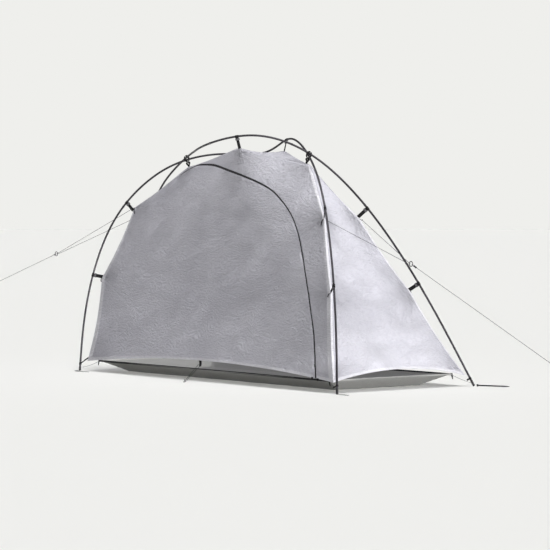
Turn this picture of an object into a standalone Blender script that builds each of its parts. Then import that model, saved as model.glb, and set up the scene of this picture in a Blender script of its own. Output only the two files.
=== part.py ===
"""Small two-pole shelter: a fabric tent hung by webbing straps inside two external poles.

Metres, +Z up. The origin is on the ground at the centre of the rectangle of the four pole
feet. +X runs along the tent to the guyed right end, -Y faces the side with the door.
"""
import math

import bmesh
import bpy
import numpy as np
from mathutils import Vector

# ---- driving dimensions -------------------------------------------------------------
FOOT_LENGTH = 2.26        # between the feet along X
FOOT_WIDTH = 0.903        # between the feet along Y
POLE_HEIGHT = 1.30        # top of the pole route above the ground

POLE_RADIUS = 0.0055
POLE_BORE = 0.0046
FERRULE_RADIUS = 0.0043
FERRULE_BORE = 0.0027
FERRULE_LENGTH = 0.055    # the length inside each of the two tubes that it joins
POLE_SECTIONS = 8
SECTION_STEPS = 7
JOINT_GAP = 0.0004
TUBE_SIDES = 8
CROSSING_LIFT = 0.0145    # height between the two pole axes where they cross
CROSSING_SPREAD = 0.22
SHOCK_CORD_RADIUS = 0.0014

TIP_RADIUS = 0.0065
TIP_LENGTH = 0.026
TIP_PLUG_LENGTH = 0.024
TIP_PLUG_RADIUS = 0.0042

STRAP_WIDTH = 0.018
STRAP_THICKNESS = 0.0014
STRAP_CLEARANCE = 0.0009
STRAP_LEG_GAP = 0.0006
TIE_WIDTH = 0.008
STRAP_WALL_GAP = 0.003    # from a strap's end to the wall that it holds

WALL_THICKNESS = 0.0012
SEAM_GAP = 0.003
HEM_ARCH = 0.055          # rise of the hems at mid span
END_HEM_ARCH = 0.05
END_ROWS = 8

TUB_LENGTH = 2.02
TUB_WIDTH = 0.80
TUB_BASE_LENGTH = 1.80
TUB_BASE_WIDTH = 0.56
TUB_HEIGHT = 0.058
TUB_WALL = 0.003

CORD_RADIUS = 0.0013
RING_RADIUS = 0.0125
RING_TUBE = 0.0022
BRIDLE_BEND = 0.0055
CORD_GAP = 0.0004

SLIDER_SIZE = (0.012, 0.006, 0.016)
SLIDER_STANDOFF = 0.013
PULL_SIZE = (0.006, 0.0014, 0.022)
ZIP_LOW = 0.06            # share of the wall's height where the slider stands

STAKE_LENGTH = 0.185
STAKE_RADIUS = 0.0035
STAKE_HEAD_RADIUS = 0.0065
TAIL_WIDTH = 0.012
TAIL_THICKNESS = 0.0018

# ---- routes and tie points ------------------------------------------------------------
# Pole a, from its right rear foot over both crossings to its left rear foot, as shares of
# half the foot length, half the foot width and the pole height. Pole b is its mirror image,
# except over the crown, where it lies a little lower and straighter.
POLE_ROUTE = [
    (1.000, 1.000, 0.000), (0.852, 0.723, 0.295), (0.694, 0.473, 0.550),
    (0.518, 0.236, 0.758), (0.304, 0.000, 0.912), (0.042, -0.309, 0.991),
    (-0.230, -0.468, 0.959), (-0.451, -0.254, 0.931), (-0.654, 0.000, 0.905),
    (-0.887, 0.123, 0.822), (-1.113, 0.283, 0.642), (-1.168, 0.577, 0.333),
    (-1.000, 1.000, 0.000),
]
CROWN_OF_B = [(0.041, -0.228, 0.981), (-0.229, -0.367, 0.926), (-0.484, -0.165, 0.925)]
CROSSINGS = {"right": POLE_ROUTE[4], "left": POLE_ROUTE[8]}
CURVE_SAMPLES = 1200

# Where straps hang from the pole, as shares of the pole height on a leg, and the run of the
# strap from the pole's axis inward and down to the wall.
LOWER_SHARE = {"right": 0.402, "left": 0.402}
UPPER_SHARE = {"right": 0.698, "left": 0.718}
LOWER_DROP = {"right": Vector((0.046, 0.018, 0.040)), "left": Vector((0.052, 0.026, 0.018))}
UPPER_DROP = {"right": Vector((0.033, 0.022, 0.055)), "left": Vector((0.052, 0.018, 0.029))}
CROWN_DROP = Vector((0.0, 0.018, 0.062))
CROWN_SHARE = {"front": -0.041, "rear": 0.008}      # of half the foot length
APEX_DROP = {"right": Vector((0.0, 0.0, 0.052)), "left": Vector((0.026, 0.0, 0.046))}
APEX_SPREAD = 0.006       # from the middle plane to each long wall's end of the ridge
CORNER_INSET = Vector((0.050, 0.018, 0.055))

# The zip's path over the front wall: share of its width from the left, share of its height.
ZIP_PATH = [(0.030, 0.955), (0.085, 0.982), (0.210, 0.984), (0.410, 0.953), (0.559, 0.914),
            (0.675, 0.885), (0.753, 0.863), (0.802, 0.836), (0.837, 0.796), (0.864, 0.748),
            (0.881, 0.690), (0.896, 0.584), (0.913, 0.387), (0.928, 0.255), (0.936, 0.000)]
HINGE_FOOT = 0.065        # share of the front wall's width at its hem
HINGE_HEAD = (0.030, 0.925)

# Guy lines, in metres
RIGHT_RING = Vector((1.158, 0.0, 0.633))
RIGHT_LINE_END = Vector((2.197, 0.0, 0.171))
LEFT_RING = Vector((-2.053, 0.0, 0.626))
LEFT_LINE_END = Vector((-2.750, 0.0, 0.429))
FRONT_PEG = Vector((-0.017, -0.551, 0.003))
STAKEOUT_RISE = Vector((-0.017, 0.122, 0.085))
LINE_LOCK_LENGTH = 0.022
LINE_LOCK_RADIUS = 0.0045
LINE_LOCK_OFFSET = 0.035  # from the ring's centre to the lock's middle


# ---- materials ---------------------------------------------------------------------------
def make_material(name, color, roughness, metallic=0.0):
    material = bpy.data.materials.new(name)
    material.use_nodes = True
    shader = material.node_tree.nodes["Principled BSDF"]
    shader.inputs["Base Color"].default_value = (*color, 1.0)
    shader.inputs["Roughness"].default_value = roughness
    shader.inputs["Metallic"].default_value = metallic
    return material


MATERIALS = {}


def make_materials():
    MATERIALS["fly"] = make_material("fly_fabric", (0.62, 0.61, 0.66), 0.55)
    MATERIALS["tub"] = make_material("tub_fabric", (0.22, 0.22, 0.22), 0.6)
    MATERIALS["pole"] = make_material("pole_tube", (0.03, 0.028, 0.032), 0.35, 0.4)
    MATERIALS["tip"] = make_material("pole_tip", (0.02, 0.02, 0.02), 0.5)
    MATERIALS["elastic"] = make_material("shock_cord", (0.05, 0.05, 0.05), 0.8)
    MATERIALS["webbing"] = make_material("webbing", (0.015, 0.013, 0.018), 0.7)
    MATERIALS["cord"] = make_material("guy_cord", (0.25, 0.25, 0.26), 0.7)
    MATERIALS["plastic"] = make_material("moulded_plastic", (0.02, 0.02, 0.02), 0.45)
    MATERIALS["stake"] = make_material("anodised_stake", (0.03, 0.03, 0.035), 0.35, 0.8)


def add_object(name, mesh_data, material):
    obj = bpy.data.objects.new(name, mesh_data)
    bpy.context.scene.collection.objects.link(obj)
    obj.data.materials.append(MATERIALS[material])
    return obj


def finish_mesh(name, bm, material, smooth_angle=None):
    bmesh.ops.recalc_face_normals(bm, faces=bm.faces)
    mesh = bpy.data.meshes.new(name)
    bm.to_mesh(mesh)
    bm.free()
    if smooth_angle is not None:
        mesh.shade_smooth()
        mesh.set_sharp_from_angle(angle=smooth_angle)
    return add_object(name, mesh, material)


# ---- curves --------------------------------------------------------------------------------
class Route:
    """A natural cubic spline through points, read by arc length."""

    def __init__(self, points):
        knots = np.array([tuple(p) for p in points], dtype=float)
        t = np.concatenate([[0.0], np.cumsum(np.linalg.norm(np.diff(knots, axis=0), axis=1))])
        h = np.diff(t)
        count = len(t)
        matrix = np.eye(count)
        right = np.zeros_like(knots)
        for i in range(1, count - 1):
            matrix[i, i - 1:i + 2] = (h[i - 1], 2 * (h[i - 1] + h[i]), h[i])
            right[i] = 6 * ((knots[i + 1] - knots[i]) / h[i] - (knots[i] - knots[i - 1]) / h[i - 1])
        bend = np.linalg.solve(matrix, right)
        fine = np.linspace(0.0, t[-1], CURVE_SAMPLES)
        i = np.clip(np.searchsorted(t, fine, side="right") - 1, 0, count - 2)
        a = ((t[i + 1] - fine) / h[i])[:, None]
        b = ((fine - t[i]) / h[i])[:, None]
        step = (h[i] ** 2 / 6)[:, None]
        self.points = (a * knots[i] + b * knots[i + 1]
                       + ((a ** 3 - a) * bend[i] + (b ** 3 - b) * bend[i + 1]) * step)

    def measure(self):
        steps = np.linalg.norm(np.diff(self.points, axis=0), axis=1)
        self.lengths = np.concatenate([[0.0], np.cumsum(steps)])
        self.length = float(self.lengths[-1])
        return self

    def straighten(self, stations):
        """Keep the route only at these stations, with straight chords between them."""
        self.points = np.array([tuple(self.at(s)) for s in stations])
        self.lengths = np.array(stations)
        self.length = float(stations[-1])

    def chord_middle(self, s):
        i = int(np.searchsorted(self.lengths, s))
        return float(self.lengths[i - 1] + self.lengths[i]) / 2

    def at(self, s):
        return Vector([float(np.interp(s, self.lengths, self.points[:, k])) for k in range(3)])

    def tangent(self, s):
        reach = self.length / CURVE_SAMPLES
        low = max(0.0, s - reach)
        high = min(self.length, s + reach)
        return (self.at(high) - self.at(low)).normalized()

    def frame(self, s):
        along = self.tangent(s)
        side = along.cross(Vector((0, 1, 0))).normalized()
        return along, side, side.cross(along).normalized()


def pole_point(share):
    return Vector((share[0] * FOOT_LENGTH / 2, share[1] * FOOT_WIDTH / 2, share[2] * POLE_HEIGHT))


def pole_route(mirror, lift):
    """The route of one pole: mirrored in Y or not, and lifted where the two cross."""
    shares = POLE_ROUTE if mirror > 0 else POLE_ROUTE[:5] + CROWN_OF_B + POLE_ROUTE[8:]
    points = []
    for share in shares:
        point = pole_point(share)
        point.y *= mirror
        points.append(point)
    route = Route(points)
    for crossing in CROSSINGS.values():
        distance = route.points[:, 0] - pole_point(crossing).x
        high = route.points[:, 2] > POLE_HEIGHT / 2
        route.points[:, 2] += high * lift * np.exp(-(distance / CROSSING_SPREAD) ** 2)
    route.measure()
    stations = [0.0]
    for low, high in section_spans(route):
        stations += section_stations(low, high)[:-1]
    route.straighten(stations + [route.length - TIP_LENGTH, route.length])
    return route


def section_spans(route):
    """Where each tube starts, and where the next one does."""
    pitch = (route.length - 2 * TIP_LENGTH) / POLE_SECTIONS
    return [(TIP_LENGTH + i * pitch, TIP_LENGTH + (i + 1) * pitch) for i in range(POLE_SECTIONS)]


def section_stations(start, end):
    """Where a tube section has rings: its ends, the ferrules' ends and even steps between."""
    return [start] + stations_between(start + FERRULE_LENGTH, end - FERRULE_LENGTH, SECTION_STEPS) + [end]


def stations_between(start, end, steps):
    return [start + (end - start) * i / steps for i in range(steps + 1)]


# ---- solids swept along a curve ----------------------------------------------------------
def ring_of(bm, route, s, radius, sides):
    along, side, other = route.frame(s)
    centre = route.at(s)
    angles = [2 * math.pi * (i + 0.5) / sides for i in range(sides)]
    return [bm.verts.new(centre + radius * (math.cos(a) * side + math.sin(a) * other)) for a in angles]


def skin(bm, rings, closed):
    pairs = list(zip(rings, rings[1:]))
    if closed:
        pairs.append((rings[-1], rings[0]))
    for first, second in pairs:
        count = len(first)
        for i in range(count):
            j = (i + 1) % count
            bm.faces.new((first[i], first[j], second[j], second[i]))
    if not closed:
        bm.faces.new(rings[0])
        bm.faces.new(rings[-1])


def swept_solid(name, route, profile, sides, material, closed=False):
    """Sweep (arc length, radius) pairs; a closed profile makes a tube with a bore."""
    bm = bmesh.new()
    skin(bm, [ring_of(bm, route, s, radius, sides) for s, radius in profile], closed)
    return finish_mesh(name, bm, material, math.radians(40))


def pole_section(name, route, start, end, has_ferrule):
    steps = section_stations(start, end)
    face = end - JOINT_GAP
    profile = [(s, POLE_RADIUS) for s in steps[:-1] + [face]]
    if has_ferrule:
        profile += [(face, FERRULE_RADIUS), (end, FERRULE_RADIUS), (end + FERRULE_LENGTH, FERRULE_RADIUS),
                    (end + FERRULE_LENGTH, FERRULE_BORE), (end, FERRULE_BORE),
                    (end - FERRULE_LENGTH, FERRULE_BORE)]
        steps = steps[:-1]
    else:
        steps = steps[:-1] + [face]
    profile += [(s, POLE_BORE) for s in reversed(steps)]
    swept_solid(name, route, profile, TUBE_SIDES, "pole", closed=True)


def pole_tip(name, route, at_start):
    """The moulded foot: a plug in the bore and a cap cut level with the ground."""
    sign = 1 if at_start else -1
    base = 0.0 if at_start else route.length
    bm = bmesh.new()
    rings = []
    for distance, radius in [(TIP_LENGTH + TIP_PLUG_LENGTH, TIP_PLUG_RADIUS), (TIP_LENGTH, TIP_PLUG_RADIUS),
                             (TIP_LENGTH - JOINT_GAP, TIP_RADIUS), (0.0, TIP_RADIUS)]:
        rings.append(ring_of(bm, route, base + sign * distance, radius, TUBE_SIDES))
    along = route.tangent(base)
    for vert in rings[-1]:
        vert.co -= along * (vert.co.z / along.z)
        vert.co.z = 0.0
    skin(bm, rings, closed=False)
    return finish_mesh(name, bm, "tip", math.radians(40))


def make_pole(letter, route):
    clear = TIP_LENGTH + TIP_PLUG_LENGTH + TIP_PLUG_RADIUS
    for i, (low, high) in enumerate(section_spans(route)):
        pole_section(f"pole_{letter}_section_{i + 1}", route, low, high, i < POLE_SECTIONS - 1)
    inside = [s for s in route.lengths if clear < s < route.length - clear]
    cord = [clear] + [float(s) for s in inside] + [route.length - clear]
    pole_tip(f"pole_{letter}_tip_right", route, True)
    pole_tip(f"pole_{letter}_tip_left", route, False)
    swept_solid(f"pole_{letter}_shock_cord", route, [(s, SHOCK_CORD_RADIUS) for s in cord], 6, "elastic")


# ---- straps ------------------------------------------------------------------------------------
def strap_loop(name, centre, along, target, width, half_across, half_deep, stop):
    """Webbing folded round a pole: two legs run to the target and are sewn there."""
    down = target - centre
    down = (down - along * down.dot(along)).normalized()
    across = along.cross(down).normalized()
    reach = (target - centre).dot(down) - stop
    half_gap = STRAP_LEG_GAP / 2
    turn = math.asin(min(0.9, (half_gap + STRAP_THICKNESS) / half_across))
    count = 10
    angles = [turn + (2 * math.pi - 2 * turn) * i / count for i in range(count + 1)]

    def outline(offset):
        side = half_gap + offset
        deep = half_deep + offset
        broad = half_across + offset
        bow = [(broad * math.sin(a), deep * math.cos(a)) for a in angles]
        first = (side, deep + STRAP_THICKNESS * 2)
        last = (-side, deep + STRAP_THICKNESS * 2)
        return [(side, reach)] + [first] + bow + [last] + [(-side, reach)]

    bm = bmesh.new()
    rings = []
    inner = outline(0.0)
    outer = outline(STRAP_THICKNESS)
    for (ix, iy), (ox, oy) in zip(inner, outer):
        ring = []
        for x, y, z in ((ix, iy, -1), (ox, oy, -1), (ox, oy, 1), (ix, iy, 1)):
            ring.append(bm.verts.new(centre + across * x + down * y + along * (z * width / 2)))
        rings.append(ring)
    skin(bm, rings, closed=False)
    return finish_mesh(name, bm, "webbing")


def leg_station(route, share, left):
    """Arc length where a leg of the pole is at a share of the pole's height."""
    heights = route.points[:, 2]
    top = int(np.argmax(heights))
    if left:
        return float(np.interp(-share * POLE_HEIGHT, -heights[top:], route.lengths[top:]))
    return float(np.interp(share * POLE_HEIGHT, heights[:top], route.lengths[:top]))


def toward_middle(point, drop):
    """Where the wall is tied: a strap's run inward and down from the pole's axis."""
    inward_x = math.copysign(drop.x, point.x)
    inward_y = math.copysign(drop.y, point.y)
    return Vector((point.x - inward_x, point.y - inward_y, point.z - drop.z))


def tie_points(routes):
    """Every place where the walls are tied, by name, with the pole station that holds it."""
    ties = {}
    for side, y_name in ((1, "rear"), (-1, "front")):
        for left, x_name in ((False, "right"), (True, "left")):
            route = routes["a"] if side > 0 else routes["b"]
            for level, shares, drops in (("lower", LOWER_SHARE, LOWER_DROP), ("upper", UPPER_SHARE, UPPER_DROP)):
                s = leg_station(route, shares[x_name], left)
                target = toward_middle(route.at(s), drops[x_name])
                ties[f"{level}_{y_name}_{x_name}"] = (route, s, target)
            foot = route.at(route.length if left else 0.0)
            s = route.length - TIP_LENGTH * 1.8 if left else TIP_LENGTH * 1.8
            corner = Vector((foot.x - math.copysign(CORNER_INSET.x, foot.x),
                             foot.y - math.copysign(CORNER_INSET.y, foot.y), CORNER_INSET.z))
            ties[f"corner_{y_name}_{x_name}"] = (route, s, corner)
    for name, route, side in (("front", routes["a"], -1), ("rear", routes["b"], 1)):
        upper = route.points[:, 2] > POLE_HEIGHT / 2
        s = float(np.interp(-CROWN_SHARE[name] * FOOT_LENGTH / 2, -route.points[upper, 0], route.lengths[upper]))
        s = route.chord_middle(s)
        point = route.at(s)
        target = Vector((point.x, point.y - side * CROWN_DROP.y, point.z - CROWN_DROP.z))
        ties[f"crown_{name}"] = (route, s, target)
    return ties


def apex_point(side, y=0.0):
    crossing = pole_point(CROSSINGS[side])
    return Vector((crossing.x + APEX_DROP[side].x, y, crossing.z - APEX_DROP[side].z))


# ---- walls -------------------------------------------------------------------------------------
def mix(a, b, share):
    return a + (b - a) * share


class Wall:
    """A long side wall: straight rulings between its end seams, lifted to the crown tie."""

    def __init__(self, ties, y_name):
        self.seams = {}
        spread = -APEX_SPREAD if y_name == "front" else APEX_SPREAD
        for x_name in ("left", "right"):
            corner, lower, upper = (ties[f"{k}_{y_name}_{x_name}"][2] for k in ("corner", "lower", "upper"))
            self.seams[x_name] = [corner, lower, upper, apex_point(x_name, spread)]
        self.crown = ties[f"crown_{y_name}"][2]
        left, right = self.seams["left"][-1], self.seams["right"][-1]
        self.crown_share = (self.crown.x - left.x) / (right.x - left.x)
        self.crown_rise = self.crown - mix(left, right, self.crown_share)

    def seam(self, x_name, v):
        points = self.seams[x_name]
        z = mix(points[0].z, points[-1].z, v)
        for low, high in zip(points, points[1:]):
            if z <= high.z + 1e-9:
                return mix(low, high, (z - low.z) / (high.z - low.z))
        return points[-1].copy()

    def at(self, u, v):
        point = mix(self.seam("left", v), self.seam("right", v), u)
        hat = u / self.crown_share if u < self.crown_share else (1 - u) / (1 - self.crown_share)
        point = point + self.crown_rise * (hat * v ** 3)
        point.z += HEM_ARCH * 4 * u * (1 - u) * (1 - v) ** 6
        return point


def shrink(points, gap):
    """Draw an outline in all round, so that neighbours sewn along a shared seam stay clear."""
    normal = Vector()
    for a, b in zip(points, points[1:] + points[:1]):
        normal += a.cross(b)
    normal.normalize()
    drawn = []
    for i, point in enumerate(points):
        before = (point - points[i - 1]).normalized()
        after = (points[(i + 1) % len(points)] - point).normalized()
        inward = (normal.cross(before) + normal.cross(after)) / 2
        drawn.append(point + inward * (gap / max(inward.length_squared, 0.12)))
    return drawn


def thicken(name, bm, faces, outward, material="fly"):
    """Turn a sheet into a thin closed solid, as thick as the fabric, set inward."""
    grown = bmesh.ops.extrude_face_region(bm, geom=faces, use_keep_orig=True)
    verts = [item for item in grown["geom"] if isinstance(item, bmesh.types.BMVert)]
    bmesh.ops.translate(bm, verts=verts, vec=outward.normalized() * -WALL_THICKNESS)
    return finish_mesh(name, bm, material)


def panel(name, outline, outward):
    """A thin sheet over a nearly flat outline."""
    bm = bmesh.new()
    face = bm.faces.new([bm.verts.new(p) for p in shrink(outline, SEAM_GAP)])
    faces = bmesh.ops.triangulate(bm, faces=[face])["faces"]
    return thicken(name, bm, faces, outward)


def end_panel(name, front, rear, u, outward):
    """A curved sheet between the end seams of the two long walls."""
    bm = bmesh.new()
    rows = []
    for i in range(END_ROWS + 1):
        v = i / END_ROWS * (1 - SEAM_GAP)
        near, far = front.at(u, v), rear.at(u, v)
        inset = (far - near).normalized() * SEAM_GAP
        row = []
        for share in (0.0, 0.25, 0.5, 0.75, 1.0):
            point = mix(near + inset, far - inset, share)
            point.z += END_HEM_ARCH * 4 * share * (1 - share) * (1 - v) ** 6
            row.append(bm.verts.new(point))
        rows.append(row)
    for low, high in zip(rows, rows[1:]):
        for k in range(4):
            bm.faces.new((low[k], low[k + 1], high[k + 1], high[k]))
    faces = bmesh.ops.triangulate(bm, faces=bm.faces[:])["faces"]
    return thicken(name, bm, faces, outward)


def make_front(wall):
    """The door wall: a strip by the left seam, the door, and the fixed panel past the zip."""
    outward = Vector((0, -1, 0.35))
    foot = wall.at(HINGE_FOOT, 0.0)
    head = wall.at(*HINGE_HEAD)
    hinge = [mix(foot, head, i / 5) for i in range(6)]
    seam = [wall.at(0.0, i / 8) for i in range(9)]
    zip_line = [wall.at(u, v) for u, v in ZIP_PATH]
    hem = [wall.at(mix(HINGE_FOOT, ZIP_PATH[-1][0], i / 8), 0.0) for i in range(9)]
    strip = seam + [zip_line[0]] + list(reversed(hinge))
    panel("front_hinge_strip", strip, outward)
    panel("door_panel", hinge + zip_line[1:-1] + list(reversed(hem))[:-1], outward)
    right_seam = [wall.at(1.0, i / 8) for i in range(9)]
    top = [wall.at(share, 1.0) for share in (0.8, wall.crown_share, 0.2, 0.0)]
    panel("front_fixed_panel", [zip_line[-1]] + right_seam + top + zip_line[:-1], outward)


def make_walls(ties):
    front = Wall(ties, "front")
    rear = Wall(ties, "rear")
    make_front(front)
    steps = [i / 8 for i in range(9)]
    outline = [rear.at(0.0, v) for v in steps]
    outline += [rear.at(share, 1.0) for share in (0.2, rear.crown_share, 0.8)]
    outline += [rear.at(1.0, v) for v in reversed(steps)]
    outline += [rear.at(u, 0.0) for u in (0.8, 0.6, 0.4, 0.2)]
    panel("rear_wall", outline, Vector((0, 1, 0.35)))
    for x_name, u, sign in (("left", 0.0, -1), ("right", 1.0, 1)):
        end_panel(f"{x_name}_end_wall", front, rear, u, Vector((sign, 0, 0.3)))
    roof = [front.at(share, 1.0) for share in (0.0, 0.2, front.crown_share, 0.8, 1.0)]
    roof += [rear.at(share, 1.0) for share in (0.8, rear.crown_share, 0.2)]
    panel("roof_panel", roof, Vector((0, 0, 1)))
    return front


def make_tub():
    """The waterproof floor: flat on the ground, its edges drawn up and out to the corners."""
    bm = bmesh.new()
    corners = ((-1, -1), (1, -1), (1, 1), (-1, 1))
    levels = ((TUB_BASE_LENGTH, TUB_BASE_WIDTH, 0.0), (TUB_LENGTH, TUB_WIDTH, TUB_HEIGHT),
              (TUB_LENGTH - TUB_WALL * 2, TUB_WIDTH - TUB_WALL * 2, TUB_HEIGHT),
              (TUB_BASE_LENGTH - TUB_WALL * 2, TUB_BASE_WIDTH - TUB_WALL * 2, TUB_WALL))
    rings = [[bm.verts.new((x * long / 2, y * wide / 2, z)) for x, y in corners] for long, wide, z in levels]
    skin(bm, rings, closed=False)
    finish_mesh("floor_tub", bm, "tub")


# ---- zip ---------------------------------------------------------------------------------------
def make_zip(wall):
    """A slider on the fixed half of the zip and a pull that hangs from its bridge."""
    low = wall.at(ZIP_PATH[-1][0], ZIP_LOW)
    centre = low + Vector((SLIDER_SIZE[0] / 2 + SEAM_GAP, -SLIDER_STANDOFF, 0))
    bm = bmesh.new()
    bmesh.ops.create_cube(bm, size=1.0)
    bmesh.ops.scale(bm, verts=bm.verts, vec=SLIDER_SIZE)
    upright = [e for e in bm.edges if abs(e.verts[0].co.z - e.verts[1].co.z) > SLIDER_SIZE[2] / 2]
    bmesh.ops.bevel(bm, geom=upright, offset=0.0015, segments=1, profile=0.5, affect="EDGES", material=-1)
    bmesh.ops.translate(bm, verts=bm.verts, vec=centre)
    finish_mesh("zip_slider", bm, "plastic")
    top = centre + Vector((0, -SLIDER_SIZE[1] / 2 - PULL_SIZE[1], SLIDER_SIZE[2] / 4))
    bm = bmesh.new()
    bmesh.ops.create_cube(bm, size=1.0)
    bmesh.ops.scale(bm, verts=bm.verts, vec=PULL_SIZE)
    bmesh.ops.translate(bm, verts=bm.verts, vec=top + Vector((0, 0, -PULL_SIZE[2] / 2)))
    finish_mesh("zip_pull", bm, "plastic")


# ---- guy lines and ground gear -----------------------------------------------------------------
def cord(name, points, radius=CORD_RADIUS):
    curve = bpy.data.curves.new(name, "CURVE")
    curve.dimensions = "3D"
    curve.bevel_depth = radius
    curve.bevel_resolution = 2
    curve.use_fill_caps = True
    curve.render_resolution_u = 0
    spline = curve.splines.new("POLY")
    spline.points.add(len(points) - 1)
    for target, point in zip(spline.points, points):
        target.co = (*point, 1.0)
    return add_object(name, curve, "cord")


def straight(start, end, count):
    return [mix(start, end, i / count) for i in range(count + 1)]


def guy_set(side, ring, line_end, ties):
    """A bridle from the two upper ties, round one side of a ring, and the line beyond it."""
    outward = 1 if ring.x > 0 else -1
    eye = ring + Vector((-outward * RING_RADIUS, 0, 0))
    ends = []
    for y_name in ("front", "rear"):
        tie = ties[f"upper_{y_name}_{side}"][2]
        start = tie + Vector((outward * 0.012, 0, -0.004))
        ends.append(start)
    bend = []
    for i in range(7):
        angle = -math.pi / 2 + math.pi * i / 6
        offset = Vector((outward * math.cos(angle), math.sin(angle), 0)) * BRIDLE_BEND
        bend.append(eye + offset)
    cord(f"{side}_bridle_cord", straight(ends[0], bend[0], 10)[:-1] + bend + straight(bend[-1], ends[1], 10)[1:])

    bm = bmesh.new()
    section = bmesh.ops.create_circle(bm, segments=8, radius=RING_TUBE)
    bmesh.ops.translate(bm, verts=section["verts"], vec=(RING_RADIUS, 0, 0))
    geom = list(bm.edges) + list(bm.verts)
    bmesh.ops.spin(bm, geom=geom, cent=(0, 0, 0), axis=(0, 1, 0), angle=2 * math.pi, steps=20, use_merge=True)
    bmesh.ops.translate(bm, verts=bm.verts, vec=ring)
    finish_mesh(f"{side}_guy_ring", bm, "plastic", math.radians(40))
    along = (line_end - ring).normalized()
    start = ring + along * (RING_RADIUS + RING_TUBE + CORD_RADIUS)
    return start, along


def line_lock(name, middle, along):
    """A small moulded barrel that grips the line and slides along it."""
    bm = bmesh.new()
    inner, outer = CORD_RADIUS + CORD_GAP * 1.5, LINE_LOCK_RADIUS
    side = Vector((0, 1, 0))
    other = along.cross(side).normalized()
    half = LINE_LOCK_LENGTH / 2
    rings = []
    for distance, radius in ((-half, outer * 0.8), (-half * 0.6, outer), (half * 0.6, outer), (half, outer * 0.8),
                             (half, inner), (-half, inner)):
        centre = middle + along * distance
        angles = [2 * math.pi * i / 12 for i in range(12)]
        rings.append([bm.verts.new(centre + radius * (math.cos(a) * side + math.sin(a) * other)) for a in angles])
    skin(bm, rings, closed=True)
    finish_mesh(name, bm, "plastic", math.radians(40))


def make_stake(name, head, direction):
    """A peg lying on the ground with its head at the tent's corner."""
    direction = direction.normalized()
    route = Route(straight(head, head + direction * STAKE_LENGTH, 3)).measure()
    head_length = 0.008
    profile = [(0.0, STAKE_HEAD_RADIUS * 0.8), (head_length / 2, STAKE_HEAD_RADIUS), (head_length, STAKE_RADIUS),
               (STAKE_LENGTH * 0.86, STAKE_RADIUS), (STAKE_LENGTH, 0.0008)]
    bm = bmesh.new()
    rings = []
    for s, radius in profile:
        centre = route.at(s)
        side = Vector((0, 0, 1))
        other = direction.cross(side).normalized()
        angles = [2 * math.pi * i / 8 for i in range(8)]
        rings.append([bm.verts.new(centre + radius * (math.cos(a) * side + math.sin(a) * other)) for a in angles])
    skin(bm, rings, closed=False)
    finish_mesh(name, bm, "stake", math.radians(40))


def ground_tail(name, points):
    """A webbing tail lying flat on the ground, along a smooth route."""
    route = Route(points).measure()
    bm = bmesh.new()
    rings = []
    for s in stations_between(0.0, route.length, 8):
        along = route.tangent(s)
        side = Vector((-along.y, along.x, 0)).normalized() * (TAIL_WIDTH / 2)
        centre = route.at(s)
        low = Vector((centre.x, centre.y, 0.0))
        high = Vector((centre.x, centre.y, TAIL_THICKNESS))
        rings.append([bm.verts.new(p) for p in (low - side, low + side, high + side, high - side)])
    skin(bm, rings, closed=False)
    finish_mesh(name, bm, "webbing")


def make_ground_gear():
    foot_x, foot_y = FOOT_LENGTH / 2, FOOT_WIDTH / 2
    clear = TIP_RADIUS * 1.8
    for x_name, sign in (("right", 1), ("left", -1)):
        head = Vector((sign * (foot_x + clear), foot_y + clear * 0.45, STAKE_HEAD_RADIUS))
        make_stake(f"stake_rear_{x_name}", head, Vector((sign, 0.42, 0)))
    right = Vector((foot_x + clear, -foot_y, 0))
    ground_tail("foot_tail_right", [right, right + Vector((0.03, -0.004, 0)), right + Vector((0.07, 0.006, 0))])
    left = Vector((-foot_x + clear * 0.6, -foot_y - clear, 0))
    ground_tail("foot_tail_left", [left, left + Vector((0.02, -0.035, 0)), left + Vector((0.07, -0.045, 0)),
                                   left + Vector((0.13, -0.022, 0))])
    edge = FRONT_PEG + STAKEOUT_RISE
    spread = Vector((0.012, 0, 0))
    near = FRONT_PEG + Vector((0.0, 0.004, 0.0))
    bend = [near + Vector((-0.004, 0.006, 0)), FRONT_PEG.copy(), near + Vector((0.004, 0.006, 0))]
    cord("front_stakeout_cord", straight(edge - spread, bend[0], 6)[:-1] + bend
         + straight(bend[-1], edge + spread, 6)[1:], CORD_RADIUS)


def main():
    for obj in list(bpy.data.objects):
        bpy.data.objects.remove(obj)
    make_materials()
    routes = {"a": pole_route(1, CROSSING_LIFT / 2), "b": pole_route(-1, -CROSSING_LIFT / 2)}
    for letter, route in routes.items():
        make_pole(letter, route)
    ties = tie_points(routes)
    bow = POLE_RADIUS + STRAP_CLEARANCE
    for name, (route, s, target) in ties.items():
        width = TIE_WIDTH if name.startswith("corner") else STRAP_WIDTH
        strap_loop(f"strap_{name}", route.at(s), route.tangent(s), target, width, bow, bow, STRAP_WALL_GAP)
    for side in CROSSINGS:
        crossing = pole_point(CROSSINGS[side])
        along = Vector((1, 0, 0.5 if side == "left" else -0.5)).normalized()
        apex = apex_point(side)
        strap_loop(f"strap_apex_{side}", crossing, along, apex, STRAP_WIDTH * 0.8,
                   bow * 2.1, bow + CROSSING_LIFT * 0.8, STRAP_WALL_GAP)
    front = make_walls(ties)
    make_tub()
    make_zip(front)
    start, along = guy_set("right", RIGHT_RING, RIGHT_LINE_END, ties)
    cord("right_guy_line", straight(start, RIGHT_LINE_END, 12))
    line_lock("right_line_lock", RIGHT_RING + along * LINE_LOCK_OFFSET, along)
    start, along = guy_set("left", LEFT_RING, LEFT_LINE_END, ties)
    cord("left_guy_line", straight(start, LEFT_LINE_END, 12))
    make_ground_gear()


main()
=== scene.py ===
import math

import bmesh
import bpy
import numpy as np
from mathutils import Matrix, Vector, noise


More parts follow.
